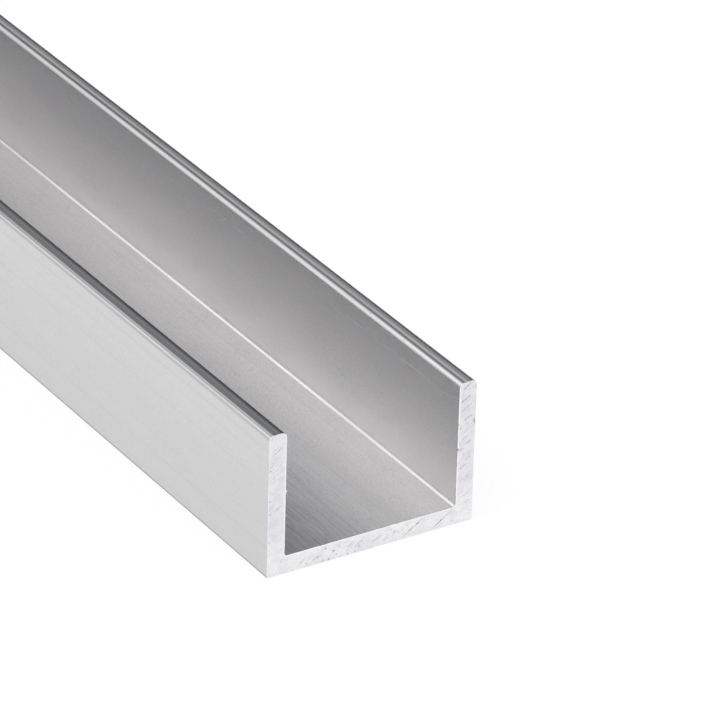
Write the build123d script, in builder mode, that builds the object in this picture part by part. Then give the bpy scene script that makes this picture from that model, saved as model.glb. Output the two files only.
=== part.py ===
"""Extruded aluminium channel, 1-1/2 x 1 x 1/8 inch, in a one metre length.

One piece of stock: a flat web with two upright flanges of the same wall, pushed through a die
and sawn square at both ends. It lies on its web with the groove open upwards.

The frame: +Y runs along the stock, +Z points out of the groove, and +X goes across the web.
The origin is the centre of the underside of the web. All lengths are in millimetres.
"""

from build123d import *
import os

INCH = 25.4

# Driving dimensions
stock_length = 1000.0
web_width = 1.5 * INCH  # over the outer faces of the two flanges
flange_height = 1.0 * INCH  # from the underside of the web to the flange tips
web_wall = INCH / 8
flange_wall = INCH / 8
tip_radius = 0.8  # all four corners of the flange tips
root_radius = 0.6  # the two inner corners, where a flange meets the web
heel_radius = 0.2  # the two outer corners below, which the die leaves nearly sharp

# The groove between the flanges follows from the walls
groove_width = web_width - 2 * flange_wall
groove_depth = flange_height - web_wall

# The channel: the die's section, extruded both ways from the middle of the stock
with BuildPart() as channel:
    with BuildSketch(Plane.XZ) as section:
        Rectangle(web_width, flange_height, align=(Align.CENTER, Align.MIN))
        with Locations((0, web_wall)):
            Rectangle(groove_width, groove_depth, align=(Align.CENTER, Align.MIN), mode=Mode.SUBTRACT)
        # The sharp corners stand at three heights: heels lowest, then roots, tips highest.
        # Rounding the upper ones first leaves the order below them as it was.
        fillet(section.vertices().group_by(Axis.Y)[-1], tip_radius)
        fillet(section.vertices().group_by(Axis.Y)[1], root_radius)
        fillet(section.vertices().group_by(Axis.Y)[0], heel_radius)
    extrude(amount=stock_length / 2, both=True)

channel.part.label = "channel"

os.makedirs("parts", exist_ok=True)
export_step(channel.part, "parts/channel.step")
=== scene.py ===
"""The aluminium channel as it looks: mill-finish metal with die lines, sawn ends, and a white studio.

Everything is in metres, in the part's own frame. +Y runs along the stock, +Z points out of the
groove and +X goes across the web. The cut end at -Y is the one nearest to the camera.
"""

import logging
import math
from dataclasses import dataclass
from enum import Enum
from typing import Any

import bpy
import numpy as np
from mathutils import Matrix, Vector, geometry


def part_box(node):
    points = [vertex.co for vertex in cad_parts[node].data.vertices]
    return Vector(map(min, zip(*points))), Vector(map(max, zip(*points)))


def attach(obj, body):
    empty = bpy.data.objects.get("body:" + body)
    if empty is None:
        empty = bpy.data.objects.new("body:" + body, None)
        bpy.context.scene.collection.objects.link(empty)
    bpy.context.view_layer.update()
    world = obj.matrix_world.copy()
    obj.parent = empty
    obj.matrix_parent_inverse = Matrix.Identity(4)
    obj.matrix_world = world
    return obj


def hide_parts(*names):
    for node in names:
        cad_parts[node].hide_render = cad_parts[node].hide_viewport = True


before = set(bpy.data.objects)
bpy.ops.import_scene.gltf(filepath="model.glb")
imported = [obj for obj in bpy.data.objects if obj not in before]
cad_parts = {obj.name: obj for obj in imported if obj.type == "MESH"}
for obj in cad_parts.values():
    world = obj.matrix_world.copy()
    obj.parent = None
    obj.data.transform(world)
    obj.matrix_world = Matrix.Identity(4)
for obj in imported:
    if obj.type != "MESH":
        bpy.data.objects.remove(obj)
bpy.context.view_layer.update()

LOG = logging.getLogger("channel")
MM = 0.001
PATTERN_MIDDLE = 0.5  # the mean of every noise pattern

Colour = tuple[float, float, float, float]
Triple = tuple[float, float, float]
Pair = tuple[float, float]


def bell(distance: np.ndarray, width: float) -> np.ndarray:
    """Give a smooth hump: 1 at no distance, and nearly 0 beyond twice the width."""
    return np.exp(-(distance / width) ** 2)


def faded(value: np.ndarray, start: float, end: float) -> np.ndarray:
    """Fade evenly from 0 at the start to 1 at the end, which may be the lower of the two."""
    return np.clip((value - start) / (end - start), 0.0, 1.0)


@dataclass(frozen=True)
class Grain:
    """A noise pattern: the size of its grains along X, Y and Z, its finer octaves and their strength."""

    sizes: Triple
    detail: float = 2.0
    harshness: float = 0.5


@dataclass(frozen=True)
class Spots:
    """Small round spots: how far apart, their radius, and the share of places that have one.

    A spot is full over its core, which is a share of the radius.
    """

    spacing: float
    radius: float
    share: float
    core: float = 0.4


class Signal:
    """A number inside a node tree. Python's operators on it add the Math nodes that they stand for."""

    def __init__(self, bench: "Bench", socket: bpy.types.NodeSocket) -> None:
        """Keep a socket together with the bench that its tree is built on.

        Args:
            bench: The bench that adds the nodes.
            socket: The output socket that carries the number.
        """
        self.bench = bench
        self.socket = socket

    def __add__(self, other: "Signal | float") -> "Signal":
        """Return self + other."""
        return self.bench.math("ADD", self, other)

    def __radd__(self, other: float) -> "Signal":
        """Return other + self."""
        return self.bench.math("ADD", other, self)

    def __sub__(self, other: "Signal | float") -> "Signal":
        """Return self - other."""
        return self.bench.math("SUBTRACT", self, other)

    def __rsub__(self, other: float) -> "Signal":
        """Return other - self."""
        return self.bench.math("SUBTRACT", other, self)

    def __mul__(self, other: "Signal | float") -> "Signal":
        """Return self * other."""
        return self.bench.math("MULTIPLY", self, other)

    def __rmul__(self, other: float) -> "Signal":
        """Return other * self."""
        return self.bench.math("MULTIPLY", other, self)

    def __truediv__(self, other: "Signal | float") -> "Signal":
        """Return self / other."""
        return self.bench.math("DIVIDE", self, other)

    def __gt__(self, other: "Signal | float") -> "Signal":
        """Return 1 where self is above other, and 0 elsewhere."""
        return self.bench.math("GREATER_THAN", self, other)

    def between(self, low: float, high: float) -> "Signal":
        """Fade smoothly from 0 at one value to 1 at another.

        Args:
            low: Where the fade is 0. It may be above high.
            high: Where the fade is 1.

        Returns:
            The faded number, kept from 0 to 1.
        """
        settings = {"interpolation_type": "SMOOTHSTEP"}
        sockets = {"Value": self, "From Min": low, "From Max": high}
        return Signal(self.bench, self.bench.node("ShaderNodeMapRange", settings, sockets).outputs[0])


class Bench:
    """The node tree of one material or of the world, and the one place where nodes are added to it."""

    def __init__(self, owner: bpy.types.Material | bpy.types.World) -> None:
        """Empty the tree of its owner.

        Args:
            owner: The material or the world that the nodes belong to.
        """
        owner.use_nodes = True
        self.tree = owner.node_tree
        self.tree.nodes.clear()

    def node(self, kind: str, settings: dict[str, Any] | None = None,
             sockets: dict[str | int, Any] | None = None) -> bpy.types.Node:
        """Add one node, with its settings first and then the values and links of its sockets.

        Args:
            kind: The node's type, such as ShaderNodeMath.
            settings: The node's own settings. The key "stops" holds a ramp's (place, colour) pairs.
            sockets: Input names or numbers, each with a plain value, a Signal or an output socket.

        Returns:
            The new node.
        """
        made = self.tree.nodes.new(kind)
        for name, value in (settings or {}).items():
            if name == "stops":
                self._set_stops(made.color_ramp, value)
            else:
                setattr(made, name, value)
        for key, value in (sockets or {}).items():
            if isinstance(key, int):
                target = made.inputs[key]
            else:
                target = next(s for s in made.inputs if s.name == key and s.enabled)
            if isinstance(value, Signal):
                value = value.socket
            if isinstance(value, bpy.types.NodeSocket):
                self.tree.links.new(value, target)
            else:
                target.default_value = value
        return made

    @staticmethod
    def _set_stops(ramp: bpy.types.ColorRamp, stops: list[tuple[float, Colour]]) -> None:
        """Give a colour ramp its stops.

        Args:
            ramp: The ramp, which starts with two stops.
            stops: The place and colour of each stop, from left to right.
        """
        while len(ramp.elements) < len(stops):
            ramp.elements.new(1.0)
        for element, (place, colour) in zip(ramp.elements, stops):
            element.position = place
            element.color = colour

    def math(self, operation: str, *operands: "Signal | float") -> Signal:
        """Add a Math node.

        Args:
            operation: The node's operation.
            operands: Its inputs, in order.

        Returns:
            The node's result.
        """
        sockets = dict(enumerate(operands))
        return Signal(self, self.node("ShaderNodeMath", {"operation": operation}, sockets).outputs[0])

    def place(self) -> bpy.types.NodeSocket:
        """Give the place on the object, in metres."""
        return self.node("ShaderNodeTexCoord").outputs["Object"]

    def stretched(self, sizes: Triple) -> bpy.types.NodeSocket:
        """Give the place on the object, measured in a pattern's own grain sizes.

        Args:
            sizes: The grain's size along X, Y and Z, in metres.

        Returns:
            The vector that a texture takes.
        """
        scale = tuple(1.0 / size for size in sizes)
        sockets = {0: self.place(), 1: scale}
        return self.node("ShaderNodeVectorMath", {"operation": "MULTIPLY"}, sockets).outputs[0]

    def slanted(self, slant_deg: float, along: float, across: float) -> bpy.types.NodeSocket:
        """Give the place on a cut end, measured along and across a slanted grain.

        Args:
            slant_deg: The angle of the grain from +X towards +Z.
            along: The grain's length in metres.
            across: The grain's width in metres.

        Returns:
            The vector that a texture takes.
        """
        slant = math.radians(slant_deg)
        ways = ((math.cos(slant) / along, 0.0, math.sin(slant) / along),
                (-math.sin(slant) / across, 0.0, math.cos(slant) / across))
        dots = [self.node("ShaderNodeVectorMath", {"operation": "DOT_PRODUCT"}, {0: self.place(), 1: way})
                for way in ways]
        sockets = {0: dots[0].outputs["Value"], 1: dots[1].outputs["Value"]}
        return self.node("ShaderNodeCombineXYZ", None, sockets).outputs[0]

    def noise(self, where: bpy.types.NodeSocket, detail: float, harshness: float) -> Signal:
        """Add a noise pattern.

        Args:
            where: The place, measured in grain sizes.
            detail: How many finer octaves it has.
            harshness: How strong each finer octave is.

        Returns:
            The pattern, mostly between 0.3 and 0.7, with a middle of 0.5.
        """
        sockets = {"Vector": where, "Scale": 1.0, "Detail": detail, "Roughness": harshness}
        return Signal(self, self.node("ShaderNodeTexNoise", None, sockets).outputs["Fac"])

    def grain(self, grain: Grain) -> Signal:
        """Add the noise pattern of a grain."""
        return self.noise(self.stretched(grain.sizes), grain.detail, grain.harshness)

    def spots(self, spots: Spots) -> Signal:
        """Scatter small round spots.

        Args:
            spots: Their spacing, radius and share.

        Returns:
            1 in the middle of a spot, fading to 0 at its edge.
        """
        sockets = {"Vector": self.stretched((spots.spacing,) * 3), "Scale": 1.0}
        cells = self.node("ShaderNodeTexVoronoi", {"feature": "F1"}, sockets)
        edge = spots.radius / spots.spacing
        near = Signal(self, cells.outputs["Distance"]).between(edge, spots.core * edge)
        pick = self.node("ShaderNodeSeparateColor", None, {0: cells.outputs["Color"]})
        return near * (Signal(self, pick.outputs[0]) > 1.0 - spots.share)

    def attribute(self, name: str) -> Signal:
        """Read a number that the mesh keeps at each point."""
        return Signal(self, self.node("ShaderNodeAttribute", {"attribute_name": name}).outputs["Fac"])

    def blend(self, factor: "Signal | float", low: Any, high: Any) -> bpy.types.NodeSocket:
        """Mix two colours.

        Args:
            factor: 0 for the first colour and 1 for the second.
            low: The first colour, or a socket.
            high: The second colour, or a socket.

        Returns:
            The mixed colour.
        """
        sockets = {"Factor": factor, "A": low, "B": high}
        made = self.node("ShaderNodeMix", {"data_type": "RGBA"}, sockets)
        return next(s for s in made.outputs if s.enabled)

    def layered(self, base: Any, layers: list[tuple[Signal, Colour]]) -> bpy.types.NodeSocket:
        """Lay colours over one another.

        Args:
            base: The lowest colour, or a socket.
            layers: Each colour above it, with the share of what lies below that it covers.

        Returns:
            The colour that shows.
        """
        for share, colour in layers:
            base = self.blend(share, base, colour)
        return base

    def bump(self, height: Signal) -> bpy.types.NodeSocket:
        """Turn a height in metres into a normal."""
        sockets = {"Height": height, "Distance": 1.0, "Strength": 1.0}
        return self.node("ShaderNodeBump", None, sockets).outputs[0]

    def rays(self) -> tuple[Signal, Signal]:
        """Tell the camera's own rays from the others.

        Returns:
            1 for what the camera sees by itself, and 1 for what it sees in a mirror or through glass.
        """
        path = self.node("ShaderNodeLightPath")
        camera, mirrored, seen_through = (Signal(self, path.outputs[f"Is {kind} Ray"])
                                          for kind in ("Camera", "Glossy", "Transmission"))
        return camera, mirrored + seen_through

    def finish(self, shader: bpy.types.NodeSocket, kind: str = "ShaderNodeOutputMaterial") -> None:
        """Join a shader to the tree's output.

        Args:
            shader: The shader's output socket.
            kind: The output node's type.
        """
        self.node(kind, None, {"Surface": shader})


def new_bench(name: str) -> tuple[bpy.types.Material, Bench]:
    """Make a material and the bench that its nodes are built on.

    Args:
        name: The material's name.

    Returns:
        The material and its bench.
    """
    material = bpy.data.materials.new(name)
    return material, Bench(material)


def grey(level: float) -> Colour:
    """Give the plain grey of a level."""
    return (level, level, level, 1.0)


@dataclass(frozen=True)
class MillFinish:
    """Aluminium as the die leaves it: satin, with fine lines along the stock and a few small pits.

    The mesh says how lined, scuffed, streaked, grained and dull each point is, and how much polish with
    painted highlight and how much painted shade it has. Some of the streaks are painted shade too.
    A pair named "shows" is where in its pattern a mark begins to show and where it is full.
    """

    # The metal's own colour and that of each mark on it
    metal: Colour = (0.785, 0.775, 0.780, 1.0)
    line_metal: Colour = (0.720, 0.710, 0.716, 1.0)
    # Polish and painted highlight: lighter metal where the tips', roots' and walls' highlights are
    # brighter
    polish_highlight_metal: Colour = (0.950, 0.940, 0.936, 1.0)
    bright_metal: Colour = (0.900, 0.893, 0.898, 1.0)
    # Painted shade: darkens the groove floor, and the walls low down near the cut ends
    shade_metal: Colour = (0.340, 0.335, 0.345, 1.0)
    grain_metal: Colour = (0.560, 0.553, 0.570, 1.0)
    scuff_metal: Colour = (0.470, 0.463, 0.480, 1.0)
    # Dark streaks, partly painted shade: at the left heel, in the tips' highlights and beside the cut
    # ends
    streak_and_shade_metal: Colour = (0.300, 0.300, 0.315, 1.0)
    pit_metal: Colour = (0.300, 0.295, 0.310, 1.0)
    # The patterns, and how the marks come out of them
    fine: Grain = Grain((0.22 * MM, 45 * MM, 0.22 * MM), 3.0, 0.6)
    broad: Grain = Grain((1.4 * MM, 160 * MM, 1.4 * MM))
    cloud: Grain = Grain((6 * MM, 13 * MM, 6 * MM), 4.0, 0.6)
    fleck: Grain = Grain((0.22 * MM, 0.42 * MM, 0.22 * MM), 2.0, 0.6)
    scratch: Grain = Grain((0.12 * MM, 7 * MM, 0.12 * MM))
    fine_shows: Pair = (0.40, 0.66)
    fleck_shows: Pair = (0.46, 0.72)
    scuff_shows: Pair = (0.55, 0.66)
    polish_shows: Pair = (0.43, 0.36)
    cloud_in_flecks: float = 0.3
    polish_strength: float = 0.6
    pits: Spots = Spots(2.8 * MM, 0.13 * MM, 0.25)
    # The gloss, which the lines draw out across the stock, and how high and deep the marks are
    roughness: float = 0.36
    fine_roughness: float = 0.25
    broad_roughness: float = 0.10
    cloud_roughness: float = 0.06
    anisotropy: float = 0.75
    line_turn: float = 0.25
    fine_depth: float = 0.005 * MM
    broad_depth: float = 0.010 * MM
    scuff_depth: float = 0.004 * MM
    pit_depth: float = 0.03 * MM

    def material(self) -> bpy.types.Material:
        """Build the finish.

        Returns:
            The material for every face that came out of the die.
        """
        material, bench = new_bench("mill_aluminium")
        lined, scuffed = bench.attribute("lined"), bench.attribute("scuff")
        fine, broad, cloud = (bench.grain(grain) for grain in (self.fine, self.broad, self.cloud))
        fleck, scratch = bench.grain(self.fleck), bench.grain(self.scratch)
        flecks = (fleck + self.cloud_in_flecks * (cloud - PATTERN_MIDDLE)).between(*self.fleck_shows)
        scuff = scratch.between(*self.scuff_shows) * scuffed
        polish = scratch.between(*self.polish_shows) * scuffed * self.polish_strength
        pits = bench.spots(self.pits)
        colour = bench.layered(self.metal, [
            # Polish and painted highlight on tips, roots and walls, and painted light low on the walls
            # and high on the outer faces
            (bench.attribute("shine"), self.polish_highlight_metal),
            (fine.between(*self.fine_shows) * lined, self.line_metal),
            (flecks * bench.attribute("grain"), self.grain_metal),
            # Painted shade on the groove floor and low on the walls near the cut ends
            (bench.attribute("worn"), self.shade_metal),
            (polish, self.bright_metal),
            (scuff, self.scuff_metal),
            # Dark streaks, partly painted shade: at the left heel, in the tips' highlights and beside the
            # cut ends
            (bench.attribute("streak"), self.streak_and_shade_metal),
            (pits, self.pit_metal),
        ])
        rough = self.roughness + bench.attribute("dull")
        rough = rough + (fine - PATTERN_MIDDLE) * lined * self.fine_roughness
        rough = rough + (broad - PATTERN_MIDDLE) * self.broad_roughness
        rough = rough + (cloud - PATTERN_MIDDLE) * self.cloud_roughness
        height = (fine * self.fine_depth + broad * self.broad_depth) * lined
        height = height - scuff * self.scuff_depth - pits * self.pit_depth
        sockets = {"Base Color": colour, "Metallic": 1.0, "Roughness": rough,
                   "Normal": bench.bump(height), "Anisotropic": self.anisotropy,
                   "Anisotropic Rotation": self.line_turn}
        bench.finish(bench.node("ShaderNodeBsdfPrincipled", None, sockets).outputs[0])
        return material


@dataclass(frozen=True)
class SawnFinish:
    """Freshly cut aluminium: brighter and rougher than the mill finish, scored and pitted by the saw.

    The mesh says at each point how scored, chipped and pitted it is, how much painted light lightens
    it, and how much painted highlight its rim has, which is partly fresh metal. A pair named "shows"
    is where in its pattern a mark begins to show and where it is full.
    """

    # The colours, and how metallic the cut is on the flanges and where painted light lightens it low on
    # the web
    # The plain colours are lighter than the dull ones: painted light, used low on the web's cut
    metal: Colour = (0.995, 0.982, 1.000, 1.0)
    smear_metal: Colour = (0.900, 0.888, 0.918, 1.0)
    dull_metal: Colour = (0.930, 0.915, 0.945, 1.0)
    dull_smear_metal: Colour = (0.835, 0.822, 0.856, 1.0)
    grit_metal: Colour = (0.800, 0.788, 0.825, 1.0)
    score_metal: Colour = (0.300, 0.290, 0.335, 1.0)
    # Painted highlight along the cut edge, partly fresh metal
    rim_highlight_metal: Colour = (1.000, 0.998, 1.000, 1.0)
    metallic: float = 0.70
    painted_light_metallic: float = 0.45
    # The patterns, and how the marks come out of them
    grit: Grain = Grain((0.15 * MM, 0.15 * MM, 0.15 * MM), 2.0, 0.6)
    patch: Grain = Grain((1.6 * MM, 1.6 * MM, 1.6 * MM))
    smear_slant_deg: float = 33.0
    smear_length: float = 1.3 * MM
    smear_width: float = 0.17 * MM
    smear_detail: float = 3.0
    smear_harshness: float = 0.65
    grit_shows: Pair = (0.54, 0.66)
    smear_shows: Pair = (0.45, 0.62)
    pits_shows: Pair = (0.30, 0.75)
    patch_in_smear: float = 0.7
    pits: Spots = Spots(0.55 * MM, 0.11 * MM, 0.70)
    pit_darkness: float = 0.5
    # The gloss, and how high and deep the marks are
    roughness: float = 0.42
    grit_roughness: float = 0.20
    smear_roughness: float = 0.20
    grit_height: float = 0.004 * MM
    smear_height: float = 0.008 * MM
    pit_depth: float = 0.03 * MM

    def material(self) -> bpy.types.Material:
        """Build the finish.

        Returns:
            The material for the two cut ends.
        """
        material, bench = new_bench("sawn_aluminium")
        rim, clean, pitted = (bench.attribute(name) for name in ("rim", "clean", "pitted"))
        grit, patch = bench.grain(self.grit), bench.grain(self.patch)
        slanted = bench.slanted(self.smear_slant_deg, self.smear_length, self.smear_width)
        smear = bench.noise(slanted, self.smear_detail, self.smear_harshness)
        small = bench.spots(self.pits) * (pitted + patch - PATTERN_MIDDLE).between(*self.pits_shows)
        pits = bench.math("MINIMUM", small * self.pit_darkness + bench.attribute("chip"), 1.0)
        marks = bench.math("MINIMUM", bench.attribute("score") + pits, 1.0)
        smeared = (smear + self.patch_in_smear * (patch - PATTERN_MIDDLE)).between(*self.smear_shows)
        # Painted light: the cut's colour is lighter low on the web, against the floor's shadow that it
        # reflects
        flat = bench.blend(smeared, bench.blend(clean, self.dull_metal, self.metal),
                           bench.blend(clean, self.dull_smear_metal, self.smear_metal))
        colour = bench.layered(flat, [
            (grit.between(*self.grit_shows), self.grit_metal),
            (marks, self.score_metal),
            # The rim's painted highlight, partly fresh metal
            (rim, self.rim_highlight_metal),
        ])
        rough = self.roughness + (grit - PATTERN_MIDDLE) * self.grit_roughness
        rough = rough + (smear - PATTERN_MIDDLE) * self.smear_roughness
        height = grit * self.grit_height + smear * self.smear_height - pits * self.pit_depth
        # Painted light low on the web and the rim's painted highlight also make the metal less metallic,
        # so it reads lighter
        metallic = (self.metallic - clean * (self.metallic - self.painted_light_metallic)) * (1.0 - rim)
        sockets = {"Base Color": colour, "Metallic": metallic, "Roughness": rough,
                   "Normal": bench.bump(height)}
        bench.finish(bench.node("ShaderNodeBsdfPrincipled", None, sockets).outputs[0])
        return material


class Face(Enum):
    """The eight flat faces of the section, in order round its outline."""

    UNDERSIDE = "underside"
    RIGHT_OUTER = "right outer"
    RIGHT_TIP = "right tip"
    RIGHT_INNER = "right inner"
    GROOVE_FLOOR = "groove floor"
    LEFT_INNER = "left inner"
    LEFT_TIP = "left tip"
    LEFT_OUTER = "left outer"


class Area(Enum):
    """The kinds of surface that the die left, each with marks of its own."""

    OUTER = "outer"
    WALL = "wall"
    FLOOR = "floor"
    TIP = "tip"
    ROOT = "root"


@dataclass(frozen=True)
class Line:
    """One mark at a distance past the middle of a face, counter-clockwise as seen from -Y.

    Its strength is a depth or a height in metres for a groove, a chip or a fleck of burr. It is a share
    for a dark streak line, some of which are painted shade, and an addition to the roughness for a dull
    band.
    """

    face: Face
    past_middle: float
    width: float
    strength: float

    def spread(self, run: np.ndarray, middles: dict[Face, float]) -> np.ndarray:
        """Give the line's strength at each point of the outline.

        Args:
            run: Each point's distance along the outline.
            middles: The distance at which each face has its middle.

        Returns:
            A smooth hump of the line's own strength and width.
        """
        return self.strength * bell(run - middles[self.face] - self.past_middle, self.width)


@dataclass(frozen=True)
class RandomLines:
    """Lines at random all round the outline, with a mean distance and ranges of width and strength."""

    pitch: float
    widths: Pair
    strengths: Pair

    def draw(self, run: np.ndarray, dice: np.random.Generator) -> np.ndarray:
        """Draw the lines.

        Args:
            run: Each point's distance along the outline.
            dice: The source of the random numbers.

        Returns:
            The lines' strengths, added up at each point.
        """
        total = np.zeros_like(run)
        for _ in range(int(run[-1] / self.pitch)):
            place, width = dice.uniform(0.0, run[-1]), dice.uniform(*self.widths)
            total += dice.uniform(*self.strengths) * bell(run - place, width)
        return total


@dataclass(frozen=True)
class Slope:
    """One stretch across a flange tip over which the metal drops below the nominal section.

    Start and end are distances past the middle of the tip. Beyond the end it stays low as far as
    the upright face, where a drop changes nothing.
    """

    face: Face
    start: float
    end: float
    drop: float
    softness: float = 0.10 * MM
    softening_steps: int = 9
    reach: float = 4.0 * MM
    fades_over: float = 1.0 * MM

    def spread(self, run: np.ndarray, middles: dict[Face, float]) -> np.ndarray:
        """Give the drop at each point of the outline.

        Args:
            run: Each point's distance along the outline.
            middles: The distance at which each face has its middle.

        Returns:
            A ramp with softened ends, which fades out below the tip.
        """
        local = run - middles[self.face]
        steps = np.linspace(-1.0, 1.0, self.softening_steps)
        shares = 1.0 - np.abs(steps)
        ramps = [share * faded(local + step * self.softness, self.start, self.end)
                 for step, share in zip(steps, shares)]
        by_tip = faded(np.abs(local), self.reach, self.reach - self.fades_over)
        return self.drop * by_tip * sum(ramps) / shares.sum()


@dataclass(frozen=True)
class Fade:
    """A change of a mark over one area: nothing at one place and the full amount at another.

    On the floor the two places are distances across the stock, and on the other areas heights.
    """

    area: Area
    places: Pair
    amount: float

    def spread(self, points: np.ndarray, on_area: np.ndarray) -> np.ndarray:
        """Give the change at each point of the outline, from which of them are on the area."""
        axis = 0 if self.area is Area.FLOOR else 1
        return self.amount * on_area * faded(points[:, axis], *self.places)


@dataclass(frozen=True)
class Mark:
    """How strong one mark of the mill finish is on each area, and where it changes over one."""

    name: str
    outer: float = 0.0
    wall: float = 0.0
    floor: float = 0.0
    tip: float = 0.0
    root: float = 0.0
    fades: tuple[Fade, ...] = ()

    def spread(self, points: np.ndarray, areas: dict[Area, np.ndarray]) -> np.ndarray:
        """Give the mark's strength at each point of the outline.

        Args:
            points: The outline's points, as rows of x and z.
            areas: For each area, which of the points are on it.

        Returns:
            The strengths.
        """
        total = sum(getattr(self, area.value) * on_area for area, on_area in areas.items())
        return total + sum(fade.spread(points, areas[fade.area]) for fade in self.fades)


@dataclass(frozen=True)
class Corner:
    """One corner of the section. Its arc may stop short of the faces that it joins."""

    x: float
    z: float
    radius: float
    inside: bool = False
    short_before_deg: float = 0.0
    short_after_deg: float = 0.0
    least_steps: int = 3

    def trims(self) -> Pair:
        """Give how much the arc takes off the face before it and off the face after it."""
        before, after = math.radians(self.short_before_deg), math.radians(self.short_after_deg)
        return (self.radius * (math.cos(after) - math.sin(before)),
                self.radius * (math.cos(before) - math.sin(after)))

    def arc(self, ahead: np.ndarray, outward: np.ndarray, spacing: float,
            holding: float) -> tuple[np.ndarray, np.ndarray]:
        """Draw the arc between its two ends, which the faces already hold.

        Args:
            ahead: The direction of the face before the corner.
            outward: That face's outward normal.
            spacing: The longest step between two points.
            holding: The first and last step of an arc that meets its faces at an angle.

        Returns:
            The arc's points and their outward normals.
        """
        before, after = math.radians(self.short_before_deg), math.radians(self.short_after_deg)
        first, last = before, math.pi / 2 - after
        steps = max(self.least_steps, math.ceil(self.radius * (last - first) / spacing))
        turn = np.linspace(first, last, steps + 1)[1:-1]
        if before > 0.0 and after > 0.0:
            hold = holding / self.radius
            turn = np.concatenate([[first + hold], turn, [last - hold]])
        side = -1.0 if self.inside else 1.0
        normals = np.outer(np.cos(turn), outward) + side * np.outer(np.sin(turn), ahead)
        centre = (np.array([self.x, self.z]) - self.radius * math.cos(after) * ahead
                  - side * self.radius * math.cos(before) * outward)
        return centre + side * self.radius * normals, normals


@dataclass
class Outline:
    """Points round the section, each with its outward normal, what the die did to it and its painted
    light and shade.
    """

    points: np.ndarray
    normals: np.ndarray
    run: np.ndarray
    middles: dict[Face, float]
    marks: dict[str, np.ndarray]
    in_groove: np.ndarray


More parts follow.
